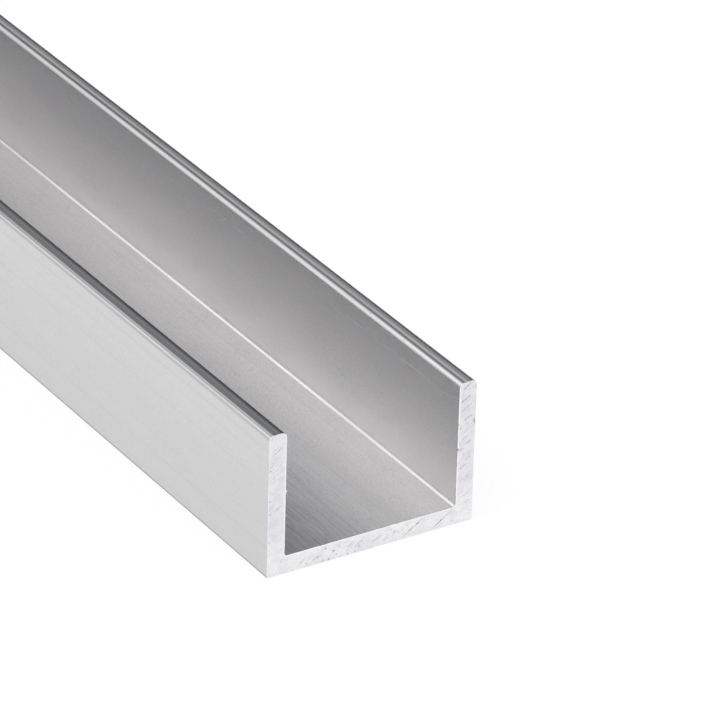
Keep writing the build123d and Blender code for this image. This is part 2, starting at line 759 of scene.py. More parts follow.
@dataclass(frozen=True)
class Section:
    """The die's section: a web with two upright flanges, rounded at tips, roots and heels.

    A root's arc has a large radius and is cut short at both ends, so it is almost a flat facet.
    """

    # The section as drawn, and how far apart its points are
    width: float
    height: float
    wall: float = 3.175 * MM
    tip_radius: float = 0.8 * MM
    root_radius: float = 5.8 * MM
    root_short_floor_deg: float = 44.0
    root_short_wall_deg: float = 41.0
    heel_radius: float = 0.2 * MM
    holding: float = 0.03 * MM
    spacing: float = 0.125 * MM
    arc_spacing: float = 0.0875 * MM
    # What the die did to it, and some painted shade: slopes, die lines and grooves change the shape,
    # the rest only the look
    seed: int = 11
    slopes: tuple[Slope, ...] = (
        Slope(Face.RIGHT_TIP, -0.66 * MM, 0.0, 0.025 * MM),
        Slope(Face.RIGHT_TIP, 0.0, 0.40 * MM, 0.045 * MM),
        Slope(Face.RIGHT_TIP, 0.40 * MM, 0.9 * MM, 0.005 * MM),
        Slope(Face.RIGHT_TIP, -0.72 * MM, -1.0 * MM, 0.035 * MM),
        Slope(Face.LEFT_TIP, -0.40 * MM, 0.12 * MM, 0.022 * MM),
        Slope(Face.LEFT_TIP, 0.75 * MM, 1.15 * MM, 0.020 * MM),
        Slope(Face.LEFT_TIP, -0.50 * MM, -1.0 * MM, 0.065 * MM),
    )
    die_lines: RandomLines = RandomLines(0.7 * MM, (0.12 * MM, 0.45 * MM), (0.0004 * MM, 0.003 * MM))
    grooves: tuple[Line, ...] = (
        Line(Face.LEFT_TIP, 1.22 * MM, 0.12 * MM, 0.008 * MM),
        Line(Face.LEFT_TIP, 1.86 * MM, 0.12 * MM, 0.004 * MM),
        Line(Face.RIGHT_TIP, -0.60 * MM, 0.12 * MM, 0.003 * MM),
    )
    faint_streaks: RandomLines = RandomLines(2.5 * MM, (0.06 * MM, 0.2 * MM), (0.0, 0.10))
    # Dark lines, partly painted shade: the tip lines darken parts of the tips' highlights
    streaks_and_shade: tuple[Line, ...] = (
        Line(Face.LEFT_TIP, 1.20 * MM, 0.14 * MM, 0.95),
        Line(Face.LEFT_TIP, 1.80 * MM, 0.20 * MM, 0.50),
        Line(Face.LEFT_TIP, -0.66 * MM, 0.12 * MM, 0.20),
        Line(Face.RIGHT_TIP, -0.64 * MM, 0.14 * MM, 0.20),
        # Painted shade along the left heel, where the floor's shadow would show
        Line(Face.LEFT_OUTER, 12.30 * MM, 0.26 * MM, 0.85),
    )
    dull_bands: tuple[Line, ...] = (
        Line(Face.RIGHT_TIP, 0.27 * MM, 0.24 * MM, 0.24),
        Line(Face.RIGHT_TIP, -0.28 * MM, 0.30 * MM, 0.10),
    )
    # How its areas look, with pairs for where a change over an area starts and where it is full
    # Painted light: the groove's walls get lighter low down between these heights
    lighter_low_wall: Pair = (wall + 6 * MM, wall + 1 * MM)
    # Painted light: the outer faces get lighter towards the top between these heights
    lighter_high_outer: Pair = (13 * MM, 19 * MM)
    floor_left: Pair = (6 * MM, -9 * MM)
    floor_middle: Pair = (2 * MM, 6 * MM)
    floor_right: Pair = (6 * MM, 12 * MM)
    marks: tuple[Mark, ...] = (
        Mark("scuff", floor=0.10, fades=(Fade(Area.FLOOR, floor_left, 0.90),)),
        # Die lines, thinned low on the walls as painted light
        Mark("lined", outer=0.07, wall=0.14, floor=0.34, tip=0.80, root=0.50,
             fades=(Fade(Area.WALL, lighter_low_wall, -0.04),)),
        Mark("dull", outer=0.02, wall=-0.11, floor=0.02, tip=-0.06, root=-0.15,
             fades=(Fade(Area.FLOOR, floor_right, -0.05),)),
        # Polish and painted highlight on tips, roots and walls; painted light low on the walls and high
        # on the outer faces
        Mark("shine", wall=0.85, tip=1.0, root=1.0,
             fades=(Fade(Area.WALL, lighter_low_wall, 0.15),
                    Fade(Area.OUTER, lighter_high_outer, 0.12))),
        # Painted shade on the groove floor: darker towards the left flange and around 6 mm right of the
        # middle
        Mark("worn", floor=0.13,
             fades=(Fade(Area.FLOOR, floor_left, 0.09),
                    Fade(Area.FLOOR, floor_middle, 0.11),
                    Fade(Area.FLOOR, floor_right, -0.08))),
        # Dark flecks of grain, thinned low on the walls as painted light
        Mark("grain", outer=0.20, wall=0.36, floor=0.60, tip=0.20, root=0.10,
             fades=(Fade(Area.WALL, lighter_low_wall, -0.22),)),
    )
    # How much polish and painted highlight the left tip's outer part and the right tip's inner round get
    left_tip_polish_and_highlight: float = 0.38
    right_round_polish_and_highlight: float = 0.10

    def corners(self) -> list[Corner]:
        """List the corners, counter-clockwise from the left heel.

        Returns:
            The eight corners. The roots meet the floor and the walls at an angle.
        """
        half = self.width / 2
        inner = half - self.wall
        floor_deg, wall_deg = self.root_short_floor_deg, self.root_short_wall_deg
        return [
            Corner(-half, 0.0, self.heel_radius),
            Corner(half, 0.0, self.heel_radius),
            Corner(half, self.height, self.tip_radius),
            Corner(inner, self.height, self.tip_radius),
            Corner(inner, self.wall, self.root_radius, True, wall_deg, floor_deg),
            Corner(-inner, self.wall, self.root_radius, True, floor_deg, wall_deg),
            Corner(-inner, self.height, self.tip_radius),
            Corner(-half, self.height, self.tip_radius),
        ]

    def _nominal(self) -> tuple[np.ndarray, np.ndarray, list[Face | None]]:
        """Walk round the section as drawn, with flats and arcs.

        Returns:
            The points, their outward normals, and the face of each, or None on an arc.
        """
        corners = self.corners()
        points, normals, faces = [], [], []
        for index, face in enumerate(Face):
            here, following = corners[index], corners[(index + 1) % len(corners)]
            start, end = np.array([here.x, here.z]), np.array([following.x, following.z])
            length = float(np.linalg.norm(end - start))
            ahead = (end - start) / length
            outward = np.array([ahead[1], -ahead[0]])
            first, last = here.trims()[1], length - following.trims()[0]
            inside = np.linspace(first + self.holding, last - self.holding,
                                 math.ceil((last - first) / self.spacing) + 1)
            along = np.concatenate([[first], inside, [last]])
            arc, arc_normals = following.arc(ahead, outward, self.arc_spacing, self.holding)
            points += [start + np.outer(along, ahead), arc]
            normals += [np.tile(outward, (len(along), 1)), arc_normals]
            faces += [face] * len(along) + [None] * len(arc)
        return np.concatenate(points), np.concatenate(normals), faces

    def _areas(self, points: np.ndarray, faces: list[Face | None]) -> dict[Area, np.ndarray]:
        """Sort the outline's points by the kind of surface that they are on.

        Args:
            points: The points, as rows of x and z.
            faces: The face of each point, or None on an arc.

        Returns:
            For each area, which of the points are on it. No point is on two.
        """
        height = points[:, 1]
        on_arc = np.array([face is None for face in faces])
        floor = np.array([face is Face.GROOVE_FLOOR for face in faces])
        wall = np.array([face in (Face.LEFT_INNER, Face.RIGHT_INNER) for face in faces])
        tip = (height > self.height - self.tip_radius) & ~wall
        root = on_arc & (height > self.wall) & (height < 2 * self.wall)
        outer = ~(floor | wall | tip | root)
        return {Area.OUTER: outer, Area.WALL: wall, Area.FLOOR: floor, Area.TIP: tip, Area.ROOT: root}

    def _tip_polish_and_highlight(self, across: np.ndarray) -> np.ndarray:
        """Work out how much polish and painted highlight the tips get.

        Args:
            across: Each point's place across the stock.

        Returns:
            The left tip gets less except on its inner round, and the right one less only there.
        """
        inner_round = self.width / 2 - self.wall + self.tip_radius
        on_left = np.where(across > -inner_round, 1.0, self.left_tip_polish_and_highlight)
        on_right = np.where(across < inner_round, self.right_round_polish_and_highlight, 1.0)
        return np.where(across > 0.0, on_right, on_left)

    def outline(self) -> Outline:
        """Draw the section as the die really made it, a hair inside the nominal one.

        Returns:
            The closed outline, counter-clockwise when seen from -Y.
        """
        points, normals, faces = self._nominal()
        steps = np.linalg.norm(np.diff(points, axis=0), axis=1)
        run = np.concatenate([[0.0], np.cumsum(steps)])
        middles = {}
        for face in Face:
            on_face = run[[f is face for f in faces]]
            middles[face] = float(on_face[0] + on_face[-1]) / 2

        dice = np.random.default_rng(self.seed)
        depth = self.die_lines.draw(run, dice) + sum(line.spread(run, middles) for line in self.grooves)
        streak = self.faint_streaks.draw(run, dice) + sum(
            line.spread(run, middles) for line in self.streaks_and_shade)
        drop = sum(slope.spread(run, middles) for slope in self.slopes)

        areas = self._areas(points, faces)
        marks = {mark.name: mark.spread(points, areas) for mark in self.marks}
        marks["streak"] = np.clip(streak, 0.0, 1.0)
        marks["shine"] = np.where(areas[Area.TIP], self._tip_polish_and_highlight(points[:, 0]), marks["shine"])
        marks["dull"] += sum(band.spread(run, middles) for band in self.dull_bands)
        in_groove = areas[Area.FLOOR] | areas[Area.WALL] | areas[Area.ROOT]
        points = points - normals * depth[:, None] - np.outer(drop, [0.0, 1.0])
        return Outline(points, normals, run, middles, marks, in_groove)


@dataclass(frozen=True)
class SawStroke:
    """One long score on a cut end: its middle, its length and how dark it is."""

    x: float
    z: float
    length: float
    strength: float

    @classmethod
    def mm(cls, x: float, z: float, length: float, strength: float) -> "SawStroke":
        """Place a stroke by a middle and a length in millimetres."""
        return cls(x * MM, z * MM, length * MM, strength)


@dataclass(frozen=True)
class Pit:
    """One pit that the saw tore out of a cut end: its middle, its radius and how dark it is."""

    x: float
    z: float
    radius: float
    strength: float

    @classmethod
    def mm(cls, x: float, z: float, radius: float, strength: float) -> "Pit":
        """Place a pit by a middle and a radius in millimetres."""
        return cls(x * MM, z * MM, radius * MM, strength)


@dataclass(frozen=True)
class PittedPatch:
    """A patch on a flange's cut face that is thick with small pits: its middle and its spread."""

    x: float
    z: float
    spread_x: float
    spread_z: float

    def thickness(self, places: np.ndarray) -> np.ndarray:
        """Give how thick the pits are at each place, 1 in the patch's middle."""
        x, z = places.T
        return bell(x - self.x, self.spread_x) * bell(z - self.z, self.spread_z)


@dataclass(frozen=True)
class SawnEnd:
    """One cut end: how its edge breaks, and what the saw left on it."""

    # Its place, and the way into the stock, which is 1 or -1 along Y
    at: float
    inward: float
    seed: int
    # The broken edge and its burr. A wave has smoothing lengths in points, each with its weight
    outer_edge: float = 0.03 * MM
    inner_edge: float = 0.05 * MM
    edge_waves: tuple[tuple[int, float], ...] = ((3, 0.35), (9, 0.2), (40, 0.15))
    edge_range: Pair = (0.3, 2.0)
    burr: float = 0.03 * MM
    burr_waves: tuple[tuple[int, float], ...] = ((2, 0.8), (6, 0.5))
    burr_starts: float = 0.7
    burr_limit: float = 1.6
    # The grid of points on the cut face, and how clear of the edge it stays, as a share of its step
    grid: float = 0.105 * MM
    edge_clear: float = 0.62
    # The faint arcs round the saw's middle, each broken up by a long and a short wave. Their steps
    # outward vary by the range, in shares of the pitch
    saw_centre: Pair = (66 * MM, -80 * MM)
    arc_pitch: float = 0.9 * MM
    arc_pitch_range: Pair = (0.3, 1.7)
    arc_strengths: Pair = (0.10, 0.50)
    arc_widths: Pair = (0.05 * MM, 0.10 * MM)
    arc_long_waves: Pair = (90.0, 220.0)
    arc_short_waves: Pair = (500.0, 1100.0)
    arc_short_depth: float = 0.45
    # The long strokes, which wander a little and break into dashes, and the shape of the pits
    stroke_width: float = 0.12 * MM
    stroke_slant_deg: float = 32.0
    stroke_wander: float = 0.05 * MM
    stroke_wander_wave: float = 0.4 * MM
    stroke_dash_wave: float = 0.11 * MM
    stroke_dash_depth: float = 0.24
    pit_stretch: Pair = (1.25, 0.85)
    # Between which heights painted light lightens the cut, and where small pits are thick on web and
    # flange.
    # The left part's pits start at the first height and are full at the second
    painted_light_heights: Pair = (8 * MM, 3 * MM)
    pits_all_over: float = 0.12
    web_top: float = 3.4 * MM
    left_pits_middle: float = -7.5 * MM
    left_pits_spread: float = 4.5 * MM
    left_pits_thin: Pair = (5.23 * MM, 0.68 * MM)
    middle_pits: float = 0.40
    middle_pits_middle: float = 3.0 * MM
    middle_pits_spread: float = 4.0 * MM
    flange_patches: tuple[PittedPatch, ...] = (
        PittedPatch(16.2 * MM, 15.0 * MM, 0.6 * MM, 4.0 * MM),
        PittedPatch(17.4 * MM, 21.5 * MM, 1.0 * MM, 3.0 * MM),
    )
    # The marks that this one end has
    strokes: tuple[SawStroke, ...] = ()
    pits: tuple[Pit, ...] = ()
    chips: tuple[Line, ...] = ()
    flecks: tuple[Line, ...] = ()

    def _wave(self, count: int, dice: np.random.Generator,
              waves: tuple[tuple[int, float], ...]) -> np.ndarray:
        """Make a smooth random wave round the outline.

        Args:
            count: The number of points round the outline.
            dice: The source of the random numbers.
            waves: The smoothing lengths, in points, and their weights.

        Returns:
            A value of about -2 to 2 at each point.
        """
        rough = dice.normal(0.0, 1.0, count)
        wave = np.zeros(count)
        for reach, weight in waves:
            kernel = np.hanning(2 * reach + 1)
            kernel /= math.sqrt(float((kernel ** 2).sum()))
            wrapped = np.concatenate([rough[-2 * reach:], rough, rough[:2 * reach]])
            wave += weight * np.convolve(wrapped, kernel, "same")[2 * reach:-2 * reach]
        return wave

    def chip_depths(self, outline: Outline) -> np.ndarray:
        """Work out how deep the named chips bite at each point of the outline."""
        return sum((chip.spread(outline.run, outline.middles) for chip in self.chips),
                   np.zeros(len(outline.run)))

    def rings(self, outline: Outline, steps: int) -> list[np.ndarray]:
        """Break the cut edge, from the cut face round to the side.

        Args:
            outline: The section's outline.
            steps: How many facets the broken edge has.

        Returns:
            Rings of points, the first on the cut face and the last on the sides.
        """
        dice = np.random.default_rng(self.seed)
        count = len(outline.points)
        inner = outline.in_groove
        sizes = np.where(inner, self.inner_edge, self.outer_edge)
        sizes = sizes * np.clip(1.0 + self._wave(count, dice, self.edge_waves), *self.edge_range)
        sizes = (sizes + self.chip_depths(outline))[:, None]
        spikes = self._wave(count, dice, self.burr_waves) - self.burr_starts
        burr = self.burr * np.clip(spikes, 0.0, self.burr_limit) * inner
        for fleck in self.flecks:
            burr = burr + fleck.spread(outline.run, outline.middles)
        rings = []
        for step in range(steps + 1):
            turn = math.pi / 2 * step / steps
            shift = burr[:, None] * (1.0 - step / steps) - sizes * (1.0 - math.sin(turn))
            flat = outline.points + outline.normals * shift
            depth = self.at + self.inward * sizes * (1.0 - math.cos(turn))
            rings.append(np.column_stack([flat[:, 0], depth[:, 0], flat[:, 1]]))
        return rings

    def _arcs(self, places: np.ndarray) -> np.ndarray:
        """Draw the faint arcs that the saw's teeth left all over.

        Args:
            places: Points on the end, as rows of x and z.

        Returns:
            How deep the arcs are at each point, from 0 up to about 1.
        """
        dice = np.random.default_rng(self.seed + 1)
        reach = np.linalg.norm(places - np.array(self.saw_centre), axis=1)
        swing = np.arctan2(places[:, 1] - self.saw_centre[1], places[:, 0] - self.saw_centre[0])
        total = np.zeros(len(places))
        radius = reach.min()
        while radius < reach.max():
            radius += self.arc_pitch * dice.uniform(*self.arc_pitch_range)
            strength = dice.uniform(*self.arc_strengths)
            width = dice.uniform(*self.arc_widths)
            offset = dice.uniform(0.0, 2 * math.pi)
            long_waves = np.sin(swing * dice.uniform(*self.arc_long_waves) + offset)
            short_waves = np.sin(swing * dice.uniform(*self.arc_short_waves) + 2 * offset)
            breaks = 1.0 - self.arc_short_depth * (1.0 - short_waves)
            total += strength * np.clip(long_waves, 0.0, 1.0) * breaks * bell(reach - radius, width)
        return total

    def _long_strokes(self, places: np.ndarray) -> np.ndarray:
        """Draw the named strokes.

        Args:
            places: Points on the end, as rows of x and z.

        Returns:
            How deep the strokes are at each point, from 0 to 1.
        """
        dice = np.random.default_rng(self.seed + 2)
        slant = math.radians(self.stroke_slant_deg)
        total = np.zeros(len(places))
        for stroke in self.strokes:
            x, z = (places - np.array([stroke.x, stroke.z])).T
            along = x * math.cos(slant) + z * math.sin(slant)
            across = z * math.cos(slant) - x * math.sin(slant)
            wander_phase, dash_phase = dice.uniform(0.0, 2 * math.pi, 2)
            wander = self.stroke_wander * np.sin(along / self.stroke_wander_wave + wander_phase)
            dash = np.sin(along / self.stroke_dash_wave + dash_phase)
            dashes = 1.0 - self.stroke_dash_depth * (1.0 - dash)
            # A stroke is full over its middle two thirds and gone at its ends
            ends = faded(np.abs(along), stroke.length / 2, stroke.length / 3)
            total += stroke.strength * bell(across - wander, self.stroke_width) * ends * dashes
        return total

    def _torn(self, places: np.ndarray) -> np.ndarray:
        """Draw the named pits.

        Args:
            places: Points on the end, as rows of x and z.

        Returns:
            How deep the pits are at each point, from 0 to 1.
        """
        total = np.zeros(len(places))
        for pit in self.pits:
            away = np.linalg.norm((places - np.array([pit.x, pit.z])) / self.pit_stretch, axis=1)
            total += pit.strength * bell(away, pit.radius)
        return total

    def score(self, places: np.ndarray) -> np.ndarray:
        """Work out how deep the saw scored and tore the end.

        Args:
            places: Points on the end, as rows of x and z.

        Returns:
            0 where the cut is unmarked, up to 1 in the deepest score.
        """
        return np.clip(self._arcs(places) + self._long_strokes(places) + self._torn(places), 0.0, 1.0)

    def painted_lightness(self, places: np.ndarray) -> np.ndarray:
        """Work out how much painted light lightens the cut: 1 on the web, falling to 0 up the flanges."""
        return faded(places[:, 1], *self.painted_light_heights)

    def pitting(self, places: np.ndarray) -> np.ndarray:
        """Work out how much the cut tore the metal into pits, most of it low on the web's left part.

        Args:
            places: Points on the end, as rows of x and z.

        Returns:
            0 where there are none, and 1 where they are thick.
        """
        x, z = places.T
        left = bell(x - self.left_pits_middle, self.left_pits_spread) * faded(z, *self.left_pits_thin)
        middle = self.middle_pits * bell(x - self.middle_pits_middle, self.middle_pits_spread)
        flange = sum(patch.thickness(places) for patch in self.flange_patches)
        total = self.pits_all_over + (left + middle) * (z < self.web_top) + flange
        return np.clip(total, 0.0, 1.0)


@dataclass
class Cap:
    """The fill of one cut face: its inner points, and triangles that reach the ring round it."""

    points: np.ndarray
    triangles: list[tuple[int, ...]]
    rim: np.ndarray
    score: np.ndarray
    clean: np.ndarray
    pitted: np.ndarray


@dataclass(frozen=True)
class ChannelStock:
    """The whole length of channel, built as one closed mesh and dressed in its two finishes."""

    section: Section
    near: SawnEnd
    far: SawnEnd
    mill: MillFinish = MillFinish()
    sawn: SawnFinish = SawnFinish()
    sawn_slot: int = 1
    # The cut edge: its facets, and how far from it the scores get their full depth. The rim's painted
    # highlight, partly fresh metal, ends at its first width and is full at its second, and a chip of the
    # last depth hides it
    edge_steps: int = 3
    score_depth: float = 0.03 * MM
    score_full_at: float = 0.2 * MM
    rim_highlight_widths: Pair = (0.28 * MM, 0.065 * MM)
    outer_rim_highlight: float = 0.35
    chip_full_at: float = 0.1 * MM
    # The painted shade in the groove beside a cut end: a dark line along the edge, and darker upright
    # faces low down, with how far from the end they reach and the heights where that shade ends and is
    # full
    end_edge_shade: float = 0.30
    end_shade: float = 0.10
    end_shade_reach: float = 5 * MM
    end_shade_heights: Pair = (10 * MM, 5 * MM)
    # What the lines of the mill finish turn round, so far to the left that they run along Y
    swirl_middle: Triple = (-1000.0, 0.0, 0.0)
    swirl_size: Triple = (1.0, 1.0, 1.0)
    # How far from a cut end each ring of points lies
    ring_gaps: tuple[float, ...] = (0.16 * MM, 0.34 * MM, 1.2 * MM, 4 * MM, 15 * MM, 50 * MM, 130 * MM,
                                    270 * MM)
    # The grid is tried against the edge in batches, and filled in millimetres
    batches: int = 80
    merge_mm: float = 1e-6

    def _inner_points(self, end: SawnEnd, edge: np.ndarray,
                      normals: np.ndarray) -> tuple[np.ndarray, np.ndarray, np.ndarray]:
        """Lay a grid of points on a cut face, clear of its edge.

        Args:
            end: The cut end.
            edge: The ring round the cut face, as rows of x and z.
            normals: The outward normal at each point of the ring.

        Returns:
            The grid's points inside the ring, each one's distance from it, and its nearest ring point.
        """
        low, high = edge.min(0), edge.max(0)
        # The rows are those of equal-sided triangles, with every other one shifted by half a step
        row_height = end.grid * math.sqrt(0.75)
        x, z = np.meshgrid(np.arange(low[0], high[0], end.grid), np.arange(low[1], high[1], row_height))
        x[1::2] += end.grid / 2
        kept, gaps, owners = [], [], []
        for part in np.array_split(np.column_stack([x.ravel(), z.ravel()]), self.batches):
            square = ((part[:, None, :] - edge[None, :, :]) ** 2).sum(-1)
            nearest = square.argmin(1)
            gap = np.sqrt(square[np.arange(len(part)), nearest])
            side = ((edge[nearest] - part) * normals[nearest]).sum(1)
            inside = (side > 0) & (gap > end.edge_clear * end.grid)
            kept.append(part[inside])
            gaps.append(gap[inside])
            owners.append(nearest[inside])
        return np.concatenate(kept), np.concatenate(gaps), np.concatenate(owners)

    def _cap(self, end: SawnEnd, ring: np.ndarray, outline: Outline, ring_first: int,
             inner_first: int) -> Cap:
        """Fill a cut face with small triangles that hold the saw's marks.

        Args:
            end: The cut end.
            ring: The ring of points round the cut face.
            outline: The section's outline, for its outward normals.
            ring_first: The number of the ring's first point in the whole mesh.
            inner_first: The number that the cap's first inner point will have.

        Returns:
            The fill.
        """
        edge = ring[:, [0, 2]]
        inner, gaps, nearest = self._inner_points(end, edge, outline.normals)
        count = len(edge)
        flat = [Vector(point) / MM for point in np.concatenate([edge, inner])]
        inside_only, with_origins = 1, True
        _, _, triangles, sources, _, owners = geometry.delaunay_2d_cdt(
            flat, [], [list(range(count))], inside_only, self.merge_mm, with_origins)
        first = [source[0] for source in sources]
        number = [ring_first + at if at < count else inner_first + at - count for at in first]
        turned = 1 if end.inward > 0 else -1
        filled = [tuple(number[corner] for corner in triangle)[::turned]
                  for triangle, owner in zip(triangles, owners) if owner]
        score = end.score(inner)
        depth = self.score_depth * score * faded(gaps, 0.0, self.score_full_at)
        points = np.column_stack([inner[:, 0], end.at + end.inward * depth, inner[:, 1]])
        # Painted highlight round the cut face's edge, partly fresh metal
        rim = np.where(outline.in_groove[nearest], 1.0, self.outer_rim_highlight) * faded(gaps, *self.rim_highlight_widths)
        return Cap(points, filled, rim, score, end.painted_lightness(inner), end.pitting(inner))

    def _rings(self, outline: Outline) -> list[np.ndarray]:
        """Lay rings of points along the stock, from the near end to the far one.

        Args:
            outline: The section's outline.

        Returns:
            The rings, close together at the cut ends and far apart between them.
        """
        near, far = self.near, self.far
        places = [near.at + gap for gap in self.ring_gaps] + [(near.at + far.at) / 2]
        places += [far.at - gap for gap in reversed(self.ring_gaps)]
        x, z = outline.points.T
        sides = [np.column_stack([x, np.full(len(x), y), z]) for y in places]
        return near.rings(outline, self.edge_steps) + sides + far.rings(outline, self.edge_steps)[::-1]

    def _side_marks(self, outline: Outline, rings: list[np.ndarray]) -> dict[str, np.ndarray]:
        """Work out what the die and the saw did to every ring, and its painted light and shade.

        Args:
            outline: The section's outline.
            rings: The rings of points along the stock.

        Returns:
            Each mark's strengths, with a row for each ring.
        """
        steps, in_groove = self.edge_steps, outline.in_groove
        marks = {name: np.tile(values, (len(rings), 1)) for name, values in outline.marks.items()}
        marks["rim"], marks["chip"] = np.zeros((2, len(rings), len(outline.points)))
        for end, edge, beside in ((self.near, slice(0, steps + 1), steps + 1),
                                  (self.far, slice(-steps - 1, None), -steps - 2)):
            marks["chip"][edge] = faded(end.chip_depths(outline), 0.0, self.chip_full_at)
            # The broken edge gets the rim's painted highlight, partly fresh metal, except where chipped
            marks["rim"][edge] = np.where(in_groove, 1.0, self.outer_rim_highlight) * (1.0 - marks["chip"][edge])
            # Painted shade: a dark line in the groove beside each cut end
            marks["streak"][beside] = np.clip(marks["streak"][beside] + self.end_edge_shade * in_groove, 0.0, 1.0)
        # Painted shade: the groove's upright faces get darker low down near each cut end
        upright = np.abs(outline.normals[:, 0]) * in_groove
        end_shading = self.end_shade * upright * faded(outline.points[:, 1], *self.end_shade_heights)
        for row, ring in enumerate(rings):
            if min(abs(ring[0, 1] - end.at) for end in (self.near, self.far)) < self.end_shade_reach:
                marks["worn"][row] += end_shading
        return marks

    def _keep_marks(self, mesh: bpy.types.Mesh, side_marks: dict[str, np.ndarray],
                    caps: tuple[Cap, ...]) -> None:
        """Keep the marks in the mesh, each as a number at every point.

        Args:
            mesh: The mesh, whose points are those of the rings and then those of the caps.
            side_marks: The marks on the rings.
            caps: The fills of the cut faces.
        """
        cap_marks = {name: np.concatenate([getattr(cap, name) for cap in caps])
                     for name in ("rim", "score", "clean", "pitted")}
        on_rings = np.zeros(side_marks["rim"].size)
        on_caps = np.zeros(len(cap_marks["rim"]))
        for name in side_marks | cap_marks:
            values = np.concatenate([side_marks.get(name, on_rings).ravel(),
                                     cap_marks.get(name, on_caps)])
            kept = mesh.attributes.new(name, "FLOAT", "POINT")
            kept.data.foreach_set("value", values.astype(np.float32))

    def mesh(self) -> bpy.types.Mesh:
        """Build the stock as one closed mesh.

        Returns:
            The mesh, with what the die and the saw did and the painted light and shade kept as a number
            at each point.
        """
        outline = self.section.outline()
        count = len(outline.points)
        rings = self._rings(outline)
        last = len(rings) - 1
        here = np.arange(count)
        ahead = np.roll(here, -1)
        quads = np.concatenate([np.column_stack([r * count + here, (r + 1) * count + here,
                                                 (r + 1) * count + ahead, r * count + ahead])
                                for r in range(last)])
        sides = len(rings) * count
        near_cap = self._cap(self.near, rings[0], outline, 0, sides)
        far_cap = self._cap(self.far, rings[-1], outline, last * count, sides + len(near_cap.points))
        coordinates = np.concatenate([*rings, near_cap.points, far_cap.points])
        faces = quads.tolist() + near_cap.triangles + far_cap.triangles
        mesh = bpy.data.meshes.new("channel_stock")
        mesh.from_pydata(coordinates.tolist(), [], faces)
        mesh.use_auto_texspace = False
        mesh.texspace_location = self.swirl_middle
        mesh.texspace_size = self.swirl_size
        self._keep_marks(mesh, self._side_marks(outline, rings), (near_cap, far_cap))
        slots = np.zeros(len(faces), np.int32)
        slots[:self.edge_steps * count] = self.sawn_slot
        slots[(last - self.edge_steps) * count:] = self.sawn_slot
        mesh.polygons.foreach_set("material_index", slots)
        mesh.polygons.foreach_set("use_smooth", np.ones(len(faces), bool))
        mesh.update()
        return mesh

    def build(self) -> bpy.types.Object:
        """Build the piece and put it on its body.

        Returns:
            The dressed channel.
        """
        mesh = self.mesh()
        mesh.materials.append(self.mill.material())
        mesh.materials.append(self.sawn.material())
        piece = bpy.data.objects.new("channel_stock", mesh)
        bpy.context.scene.collection.objects.link(piece)
        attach(piece, "root")
        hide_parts("channel")
        return piece


